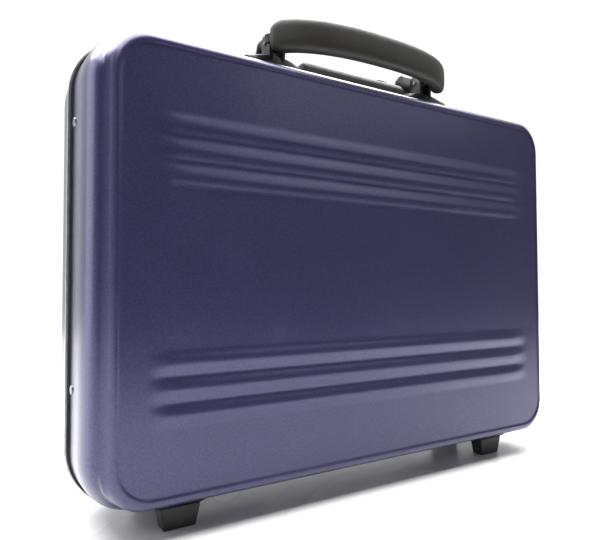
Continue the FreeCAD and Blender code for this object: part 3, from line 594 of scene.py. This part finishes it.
def bracket(side, word):
    """Base bar with tapering ends and two cheeks that hold the pin."""
    rows = []
    for along, rise in BAR_RISES:
        top = BAR_TOP + rise
        crest = [(25.4, top - 1.5), (23.6, top - 0.5), (21.0, top), (17.5, top), (15.3, top - 0.8)]
        rows.append([(side * along, SEAM - y, TOP + z) for y, z in SADDLE_FRONT + crest + SADDLE_BACK])
    points = flat(rows)
    faces = loft(rows)
    for inner in CHEEK_INNER:
        cheek = [[(side * (inner + along), PIVOT.y + y * shrink, PIVOT.z + z * shrink)
                  for y, z in cheek_outline()] for along, shrink in CHEEK_WIDTHS]
        faces += loft(cheek, len(points))
        points += flat(cheek)
    return piece("bracket_" + word, points, faces, black_metal, "base",
                 ("handle_bracket_" + word,), angle=38)


bracket(-1, "left")
bracket(1, "right")


def window(low, high):
    """Box used to cut an opening."""
    corners = [(x, y, z) for x in (low[0], high[0]) for y in (low[1], high[1]) for z in (low[2], high[2])]
    mesh = bpy.data.meshes.new("window")
    mesh.from_pydata([Vector(c) * MM for c in corners], [],
                     [(0, 1, 3, 2), (4, 6, 7, 5), (0, 4, 5, 1), (2, 3, 7, 6), (0, 2, 6, 4), (1, 5, 7, 3)])
    thing = bpy.data.objects.new("window", mesh)
    scene.collection.objects.link(thing)
    return thing


HOUSING_TOP = 9.7
HOUSING_ENDS = ((48.0, 1.6), (47.6, 0.8), (46.8, 0.25), (45.6, 0.0))      # half length and drop of the top
HOUSING_DROPS = [(-half, drop) for half, drop in HOUSING_ENDS] + list(HOUSING_ENDS[::-1])
GAP, BUTTON_TRACK, BUTTON_FLOOR = 0.3, 5.6, 0.05


def housing():
    """Rounded bar over the shell's top with windows for the dials and the slide button."""
    rows = []
    for along, drop in HOUSING_DROPS:
        top = HOUSING_TOP - drop
        row = [(26.0, -6.9), (26.0, 4.0), (25.3, top - 3.2), (23.8, top - 1.6), (21.8, top - 0.5),
               (19.6, top), (15.2, top), (13.7, top - 0.7), (13.0, top - 2.2), (13.0, -0.9), (20.5, -3.1)]
        rows.append([(along, SEAM - y, TOP + z) for y, z in row])
    thing = piece("lock_body", flat(rows), loft(rows), black_metal, "base", ("lock_housing",))
    cutters = []
    for name in ("number_dial_1", "number_dial_2", "number_dial_3", "lock_button"):
        low, high = box_mm(name)
        button = name == "lock_button"
        track = BUTTON_TRACK if button else GAP
        under = low.z - (BUTTON_FLOOR if button else GAP)
        cutters.append(window((low.x - GAP, low.y - GAP, under), (high.x + track, high.y + GAP, high.z + 4)))
    dress(thing, *[("BOOLEAN", {"object": cutter, "operation": "DIFFERENCE", "solver": "EXACT"})
                   for cutter in cutters])
    for cutter in cutters:
        bpy.data.objects.remove(cutter)
    thing.data.set_sharp_from_angle(angle=math.radians(38))
    return thing


housing()


# ---------------------------------------------------------------- latch levers
# Stations of the lever, about its pin: (Y, Z, half width).
LEVER = ((2.1, -0.1, 12.5), (0.0, 0.4, 12.5), (-4.5, 0.2, 12.5), (-9.5, -0.1, 12.5), (-13.5, 0.0, 12.5),
         (-16.7, 1.4, 12.5), (-18.7, 4.1, 12.5), (-19.4, 7.5, 12.4), (-19.5, 10.5, 11.7), (-19.4, 13.0, 9.6),
         (-19.2, 15.1, 5.6))
LEVER_THICK, LEVER_BOW = 2.6, 0.9


def lever(word):
    """Thumb lever: arm over the seam, curving up into a rounded tab."""
    pin = PINS["latch_%s_flip" % word]
    rows = []
    for y, z, wide in LEVER:
        rows.append([(pin.x + wide * v, pin.y + y - LEVER_BOW * v * v, pin.z + z)
                     for v in (-1, -0.75, -0.4, 0, 0.4, 0.75, 1)])
    thing = piece("latch_lever_" + word, flat(rows), bands(rows, closed=False), latch_metal,
                  "latch_" + word, ("latch_lever_" + word,))
    return dress(thing, ("SOLIDIFY", {"thickness": LEVER_THICK * MM, "offset": 0.0}),
                 ("SUBSURF", {"levels": 2}))


lever("left")
lever("right")


# ----------------------------------------------------------------- number dials
DIAL_SIDES, DIGIT_SIZE = 80, 2.5
# Stations of a wheel: (place along its half width, share of its radius).
DIAL = ((-1, 0.42), (-1, 0.9), (-0.93, 1.0), (-0.62, 1.0), (-0.55, 0.965), (0.55, 0.965), (0.62, 1.0),
        (0.93, 1.0), (1, 0.9), (1, 0.42))
NOTCH, DIGIT_AT = 0.975, 0.972


def dial(number):
    """Wheel with a bore, notched at both rims, with its ten digits (see digit below)."""
    low, high = box_mm("number_dial_%d" % number)
    middle = (low + high) / 2
    half, radius = (high.x - low.x) / 2, (high.z - low.z) / 2
    rows = []
    for v, share in DIAL:
        row = []
        for k in range(DIAL_SIDES):
            a = 2 * math.pi * k / DIAL_SIDES
            r = radius * share * (NOTCH if share == 1.0 and k % 4 in (0, 1) else 1.0)
            row.append((middle.x + v * half, middle.y + r * math.sin(a), middle.z + r * math.cos(a)))
        rows.append(row)
    points = flat(rows)
    faces = bands(rows) + joined(len(points) - DIAL_SIDES, 0, DIAL_SIDES)
    piece("number_wheel_%d" % number, points, faces, dial_metal, "dial_%d" % number,
          ("number_dial_%d" % number,), angle=40)
    for value in range(10):
        digit(number, value, middle, radius * DIGIT_AT)


def digit(number, value, middle, radius):
    """Raised digit on the rim of a wheel."""
    text = bpy.data.curves.new("digit", "FONT")
    text.body = str(value)
    text.size = DIGIT_SIZE * MM
    text.align_x, text.align_y = "CENTER", "CENTER"
    text.extrude = 0.05 * MM
    temporary = bpy.data.objects.new("digit", text)
    mesh = bpy.data.meshes.new_from_object(temporary)
    bpy.data.objects.remove(temporary)
    mesh.materials.clear()
    mesh.materials.append(ink.material)
    turn = Matrix.Rotation(2 * math.pi * value / 10, 4, "X")
    mesh.transform(Matrix.Translation(middle * MM) @ turn @ Matrix.Translation((0, 0, radius * MM)))
    thing = bpy.data.objects.new("dial_%d_digit_%d" % (number, value), mesh)
    scene.collection.objects.link(thing)
    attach(thing, "dial_%d" % number)


for number in (1, 2, 3):
    dial(number)


# --------------------------------------------------------------- inside the case
def tray(name, half, body, node):
    """Fabric-covered lining: rounded tray with a rolled hem at its open edge."""
    low, high = box_mm(node)
    half_x, half_z = (high.x - low.x) / 2, (high.z - low.z) / 2
    near = min(abs(low.y - SEAM), abs(high.y - SEAM))
    far = max(abs(low.y - SEAM), abs(high.y - SEAM))
    hem = [(1.8, near + 2.4), (1.6, near + 1.0), (0.9, near + 0.4), (-2.6, near + 0.3), (-3.0, near + 0.6),
           (-2.7, near + 1.0), (0.2, near + 1.3), (0.5, near + 2.4)]
    outer_bend = quarter(0.5, far - 6.5, 6.0, 6.4, step=10)
    inner_bend = quarter(1.8, far - 6.5, 5.0, 5.1, step=10)
    rows = []
    for inset, depth in inner_bend[::-1] + hem + outer_bend:
        row = outline(half_x - inset, half_z - inset, 27.0 - inset)
        rows.append([(x, SEAM + half * depth, z + MID) for x, z in row])
    return piece(name, flat(rows), loft(rows), lining_cloth, body, (node,))


tray("front_lining_tray", -1, "base", "front_lining")
tray("rear_lining_tray", 1, "lid", "rear_lining")


PAD_WAVE = 0.35         # height of the gentle waves of a stuffed pad
PAD_EDGE = 0.35         # share of a pad's thickness left at its edge
PAD_PULL = 0.35         # how much of the given corner size its corners are drawn in
BACK_EDGE, BACK_TUCK = 0.98, 0.12       # where the flat back ends, and the share of thickness it tucks in


def pad(name, low, high, puff, nodes=(), columns=28, levels=20, corner=6.0, seed=0.0):
    """Stuffed flat pad: crowned on the side towards the seam, tight at its edge."""
    points, faces = [], []
    thick = high.y - low.y
    for layer in (0, 1):
        for i in range(columns + 1):
            for j in range(levels + 1):
                u, v = 2 * i / columns - 1, 2 * j / levels - 1
                pull = corner * (u * v) ** 4 * PAD_PULL
                x = mix(low.x, high.x, i / columns) - math.copysign(pull, u)
                z = mix(low.z, high.z, j / levels) - math.copysign(pull, v)
                crown = (1 - abs(u) ** 8) * (1 - abs(v) ** 8)
                if layer == 0:
                    wave = math.sin(0.05 * x + 1.3 + seed) * math.sin(0.07 * z + seed) * crown
                    y = high.y - thick * mix(PAD_EDGE, 1.0, crown) + puff * PAD_WAVE * wave
                else:
                    y = high.y - (thick * BACK_TUCK if max(abs(u), abs(v)) >= BACK_EDGE else 0.0)
                points.append((x, y, z))
    layer_size = (columns + 1) * (levels + 1)

    def at(layer, i, j):
        return layer * layer_size + i * (levels + 1) + j

    for i in range(columns):
        for j in range(levels):
            for layer in (0, 1):
                faces.append((at(layer, i, j), at(layer, i + 1, j), at(layer, i + 1, j + 1),
                              at(layer, i, j + 1)))
    for i in range(columns):
        for j in (0, levels):
            faces.append((at(0, i, j), at(0, i + 1, j), at(1, i + 1, j), at(1, i, j)))
    for j in range(levels):
        for i in (0, columns):
            faces.append((at(0, i, j), at(0, i, j + 1), at(1, i, j + 1), at(1, i, j)))
    return piece(name, points, faces, leather, "lid", nodes)


STITCH_PITCH, STITCH_FROM = 4.0, 0.7
STITCH = ((0, 0.12), (0.3, 0.3), (2.2, 0.3), (2.5, 0.12))      # stations of a stitch: (along, radius)


def seam(name, x0, x1, y, z):
    """Row of short thread bars along X."""
    points, faces = [], []
    for k in range(int((x1 - x0) / STITCH_PITCH)):
        bar = [[(x0 + STITCH_PITCH * k + STITCH_FROM + along, y + radius * math.sin(math.pi * a / 3),
                 z + radius * math.cos(math.pi * a / 3)) for a in range(6)] for along, radius in STITCH]
        faces += loft(bar, len(points))
        points += flat(bar)
    return piece(name, points, faces, thread, "lid")


ORG_LOW, ORG_HIGH = box_mm("file_organiser")
BOARD = 2.2                     # thickness of the organiser's board
POCKET_BACK, SEAM_DEPTH = 0.2, 0.95
# Pockets: (X from, X to, Z from, Z to about the middle, height over the board's back).
POCKETS = [(-146, -4, -92, 20, 2.1), (4, 146, -92, 20, 2.1), (-146, 146, -92, -18, 3.6)]
POCKET_THICK, SEAM_INSET = 1.3, 4

board = pad("organiser_board", Vector((ORG_LOW.x, ORG_HIGH.y - BOARD, ORG_LOW.z)), ORG_HIGH, 0.5,
            ("file_organiser",))
for k, (x0, x1, z0, z1, lift) in enumerate(POCKETS):
    back = ORG_HIGH.y - lift
    pocket = pad("organiser_pocket_%d" % (k + 1), Vector((x0, back - POCKET_THICK, z0 + MID)),
                 Vector((x1, back + POCKET_BACK, z1 + MID)), 0.6, columns=22, levels=14, corner=3.0,
                 seed=k * 1.7)
for k, (x0, x1, _, z1, lift) in enumerate(POCKETS):
    seam("pocket_seam_%d" % (k + 1), x0 + SEAM_INSET, x1 - SEAM_INSET, ORG_HIGH.y - lift - SEAM_DEPTH,
         z1 - SEAM_INSET + MID)

LOOP_LOW, LOOP_HIGH = box_mm("pen_loops")
LOOP_PITCH, LOOP_THICK, LOOP_SIDES, LOOP_LEVELS = 18, 1.1, 32, 8
LOOP_WAIST, LOOP_WOBBLE, LOOP_SQUASH = 0.05, 0.012, 0.98


def pen_loop(k):
    """Elastic loop: a flattened band standing off the pad, gathered in its middle."""
    radius = (LOOP_HIGH.y - LOOP_LOW.y) / 2
    middle_x = LOOP_LOW.x + radius + LOOP_PITCH * k
    middle_y = (LOOP_LOW.y + LOOP_HIGH.y) / 2
    outer, inner = [], []
    for j in range(LOOP_LEVELS + 1):
        v = j / LOOP_LEVELS
        z = mix(LOOP_LOW.z, LOOP_HIGH.z, v)
        waist = 1 - LOOP_WAIST * math.sin(math.pi * v)
        outer_row, inner_row = [], []
        for a in range(LOOP_SIDES):
            t = 2 * math.pi * a / LOOP_SIDES
            wobble = 1 + LOOP_WOBBLE * math.sin(8 * t + 3 * v)
            inside = (radius - LOOP_THICK) * waist
            outer_row.append((middle_x + radius * waist * wobble * math.sin(t) * LOOP_SQUASH,
                              middle_y + radius * waist * math.cos(t), z))
            inner_row.append((middle_x + inside * math.sin(t) * LOOP_SQUASH,
                              middle_y + inside * math.cos(t), z))
        outer.append(outer_row)
        inner.append(inner_row)
    points = flat(outer) + flat(inner)
    half = len(points) // 2
    faces = bands(outer) + bands(inner, start=half)
    for base in (0, LOOP_LEVELS * LOOP_SIDES):
        faces += joined(base, half + base, LOOP_SIDES)
    return piece("pen_loop_%d" % (k + 1), points, faces, webbing, "lid",
                 ("pen_loops",) if k == 0 else ())


for k in range(3):
    pen_loop(k)

STRAP_LOW, STRAP_HIGH = box_mm("document_strap")
# Half of a section across the webbing, thicker at its selvedges: (share of the half width, half thickness).
STRAP_HALF = ((0.0, 0.75), (0.4, 0.75), (0.86, 0.75), (0.96, 0.6), (1.0, 0.25))
STRAP_SWAY, STRAP_WAVE, STRAP_FILL, STRAP_STEPS = 0.3, 0.10, 0.85, 60
STRAP_ACROSS = [(-v, thick) for v, thick in STRAP_HALF[:0:-1]] + list(STRAP_HALF)


def strap():
    """Flat webbing that sways a little and lies in low waves."""
    rows = []
    half = (STRAP_HIGH.x - STRAP_LOW.x) / 2
    middle = (STRAP_LOW.y + STRAP_HIGH.y) / 2
    for k in range(STRAP_STEPS + 1):
        z = mix(STRAP_LOW.z, STRAP_HIGH.z, k / STRAP_STEPS)
        sway = STRAP_SWAY * math.sin(k * 0.35)
        front, rear = [], []
        for v, thick in STRAP_ACROSS:
            y = middle + STRAP_WAVE * math.sin(k * 0.5 + v)
            front.append((v * half + sway, y - thick * STRAP_FILL, z))
            rear.append((v * half + sway, y + thick * STRAP_FILL, z))
        rows.append(front + rear[::-1])
    return piece("document_strap_webbing", flat(rows), loft(rows), webbing, "base",
                 ("document_strap",), angle=50)


strap()


# ------------------------------------------------------ floor, light and camera
FLOOR_LEFT, FLOOR_RIGHT, FLOOR_FRONT, FLOOR_BACK = -2.0, 2.4, -0.55, 1.7
SKY_FRONT, SKY_BACK, SKY_SEEN = 0.14, 0.9, 1.1      # world light in front, behind, and to the camera
TARGET = (0, 0, 0.15)
LENS, SENSOR = 33.608, 36.0
CAMERA = (-0.27121, SEAM * MM - 0.36595, 0.14756)
CAMERA_TURN, CAMERA_TILT, CAMERA_ROLL = [math.radians(angle) for angle in (-32.541, 90 + 1.984, -0.152)]


def floor():
    corners = [(FLOOR_LEFT, FLOOR_FRONT, 0), (FLOOR_RIGHT, FLOOR_FRONT, 0), (FLOOR_RIGHT, FLOOR_BACK, 0),
               (FLOOR_LEFT, FLOOR_BACK, 0)]
    mesh = bpy.data.meshes.new("floor")
    mesh.from_pydata(corners, [], [(0, 1, 2, 3)])
    shader = Shader("floor", (0.9, 0.9, 0.9), 0.3)
    shader.rough(shader.noise(3), 0.22, 0.32)
    mesh.materials.append(shader.material)
    thing = bpy.data.objects.new("floor", mesh)
    scene.collection.objects.link(thing)


def area(name, place, target, size, energy, size_y=None):
    """Rectangular lamp aimed at a point."""
    lamp = bpy.data.lights.new(name, "AREA")
    lamp.shape = "RECTANGLE"
    lamp.size, lamp.size_y = size, size_y or size
    lamp.energy = energy
    thing = bpy.data.objects.new(name, lamp)
    thing.location = place
    thing.rotation_euler = (Vector(target) - Vector(place)).to_track_quat("-Z", "Y").to_euler()
    scene.collection.objects.link(thing)


def sky():
    """White world, darker in front of the case than behind it, and plain white to the camera."""
    world = bpy.data.worlds.new("studio")
    scene.world = world
    world.use_nodes = True
    tree = world.node_tree
    background = tree.nodes["Background"]
    background.inputs["Color"].default_value = (1, 1, 1, 1)
    heading = tree.nodes.new("ShaderNodeTexCoord")
    split = tree.nodes.new("ShaderNodeSeparateXYZ")
    dim = tree.nodes.new("ShaderNodeMapRange")
    limits = {"From Min": -0.55, "From Max": 0.65, "To Min": SKY_FRONT, "To Max": SKY_BACK}
    for socket, value in limits.items():
        dim.inputs[socket].default_value = value
    path = tree.nodes.new("ShaderNodeLightPath")
    level = tree.nodes.new("ShaderNodeMapRange")
    level.inputs["To Max"].default_value = SKY_SEEN
    tree.links.new(heading.outputs["Generated"], split.inputs["Vector"])
    tree.links.new(split.outputs["Y"], dim.inputs["Value"])
    tree.links.new(dim.outputs["Result"], level.inputs["To Min"])
    tree.links.new(path.outputs["Is Camera Ray"], level.inputs["Value"])
    tree.links.new(level.outputs["Result"], background.inputs["Strength"])


def viewpoint():
    camera = bpy.data.cameras.new("camera")
    camera.lens, camera.sensor_width = LENS, SENSOR
    seat = bpy.data.objects.new("camera", camera)
    scene.collection.objects.link(seat)
    scene.camera = seat
    seat.matrix_world = (Matrix.Translation(CAMERA) @ Matrix.Rotation(CAMERA_TURN, 4, "Z")
                         @ Matrix.Rotation(CAMERA_TILT, 4, "X") @ Matrix.Rotation(CAMERA_ROLL, 4, "Z"))


floor()
sky()
scene.view_settings.view_transform = "Standard"
area("overhead", (0.1, 0.45, 1.9), (0.1, 0.45, 0.0), 3.2, 215, size_y=2.7)
area("left", (-1.7, 0.6, 0.7), TARGET, 1.1, 13, size_y=1.6)
area("front", (1.9, -2.4, 1.9), TARGET, 1.6, 9)
viewpoint()
